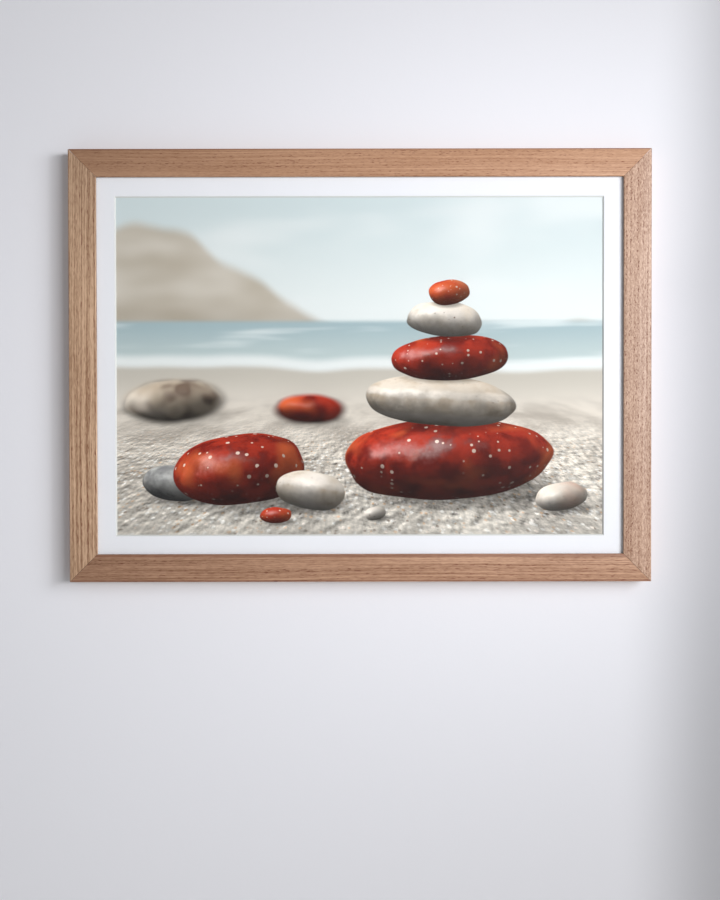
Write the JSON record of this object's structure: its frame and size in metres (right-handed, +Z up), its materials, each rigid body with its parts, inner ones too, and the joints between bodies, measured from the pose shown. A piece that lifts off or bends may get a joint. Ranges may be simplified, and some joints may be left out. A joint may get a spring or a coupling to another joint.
{
  "type": "framed print",
  "caption": "Landscape framed print for a wall: mitred oak moulding, glazing, bevelled white window mat and a backing held by turn buttons.",
  "frame": {"origin": "centre of the box round the whole framed print, in the middle of the picture", "axes": "+X to the viewer's right along the picture's width, +Y from the room towards the wall, +Z up"},
  "size_m": [0.7, 0.027, 0.52],
  "materials": {
    "oak": "satin, pale oak with straight grain along each member",
    "glazing": "clear and smooth",
    "mat_board": "white, matt, fine tooth, white bevel",
    "print_paper": "pearl photographic paper with a coastal still life",
    "mount_board": "matt white board",
    "hardboard": "brown pressed fibre, slightly shiny",
    "plated_steel": "bright zinc plate",
    "rubber": "matt dark grey"
  },
  "bodies": {
    "frame": {"rail_top": "oak", "rail_bottom": "oak", "stile_left": "oak", "stile_right": "oak", "glazing": "glazing", "window_mat": "mat_board", "print": "print_paper", "mount_board": "mount_board", "backing_board": "hardboard", "v_nail_top_left_outer": "plated_steel", "v_nail_top_left_inner": "plated_steel", "v_nail_top_right_outer": "plated_steel", "v_nail_top_right_inner": "plated_steel", "v_nail_bottom_left_outer": "plated_steel", "v_nail_bottom_left_inner": "plated_steel", "v_nail_bottom_right_outer": "plated_steel", "v_nail_bottom_right_inner": "plated_steel", "button_screw_top_right": "plated_steel", "button_screw_top_middle": "plated_steel", "button_screw_top_left": "plated_steel", "button_screw_bottom_left": "plated_steel", "button_screw_bottom_middle": "plated_steel", "button_screw_bottom_right": "plated_steel", "button_screw_left": "plated_steel", "button_screw_right": "plated_steel", "strap_hanger_left": "plated_steel", "strap_hanger_right": "plated_steel", "strap_screw_left_upper": "plated_steel", "strap_screw_left_lower": "plated_steel", "strap_screw_right_upper": "plated_steel", "strap_screw_right_lower": "plated_steel", "bumper_top_left": "rubber", "bumper_top_right": "rubber", "bumper_bottom_left": "rubber", "bumper_bottom_right": "rubber"},
    "button_top_right": {"turn_button_top_right": "plated_steel"},
    "button_top_middle": {"turn_button_top_middle": "plated_steel"},
    "button_top_left": {"turn_button_top_left": "plated_steel"},
    "button_bottom_left": {"turn_button_bottom_left": "plated_steel"},
    "button_bottom_middle": {"turn_button_bottom_middle": "plated_steel"},
    "button_bottom_right": {"turn_button_bottom_right": "plated_steel"},
    "button_left": {"turn_button_left": "plated_steel"},
    "button_right": {"turn_button_right": "plated_steel"},
    "ring_left": {"d_ring_left": "plated_steel"},
    "ring_right": {"d_ring_right": "plated_steel"}
  },
  "joints": [
    {"name": "turn_top_right", "type": "hinge", "parent": "frame", "child": "button_top_right", "pos_m": [0.22, 0.0094, 0.2425], "axis": [0, 1, 0], "continuous": true},
    {"name": "turn_top_middle", "type": "hinge", "parent": "frame", "child": "button_top_middle", "pos_m": [0, 0.0094, 0.2425], "axis": [0, 1, 0], "continuous": true},
    {"name": "turn_top_left", "type": "hinge", "parent": "frame", "child": "button_top_left", "pos_m": [-0.22, 0.0094, 0.2425], "axis": [0, 1, 0], "continuous": true},
    {"name": "turn_bottom_left", "type": "hinge", "parent": "frame", "child": "button_bottom_left", "pos_m": [-0.22, 0.0094, -0.2425], "axis": [0, 1, 0], "continuous": true},
    {"name": "turn_bottom_middle", "type": "hinge", "parent": "frame", "child": "button_bottom_middle", "pos_m": [0, 0.0094, -0.2425], "axis": [0, 1, 0], "continuous": true},
    {"name": "turn_bottom_right", "type": "hinge", "parent": "frame", "child": "button_bottom_right", "pos_m": [0.22, 0.0094, -0.2425], "axis": [0, 1, 0], "continuous": true},
    {"name": "turn_left", "type": "hinge", "parent": "frame", "child": "button_left", "pos_m": [-0.3325, 0.0094, -0.02], "axis": [0, 1, 0], "continuous": true},
    {"name": "turn_right", "type": "hinge", "parent": "frame", "child": "button_right", "pos_m": [0.3325, 0.0094, -0.02], "axis": [0, 1, 0], "continuous": true},
    {"name": "swing_left", "type": "hinge", "parent": "frame", "child": "ring_left", "pos_m": [-0.3365, 0.0111, 0.095], "axis": [-1, 0, 0], "range_deg": [-5, 180]},
    {"name": "swing_right", "type": "hinge", "parent": "frame", "child": "ring_right", "pos_m": [0.3365, 0.0111, 0.095], "axis": [-1, 0, 0], "range_deg": [-5, 180]}
  ]
}
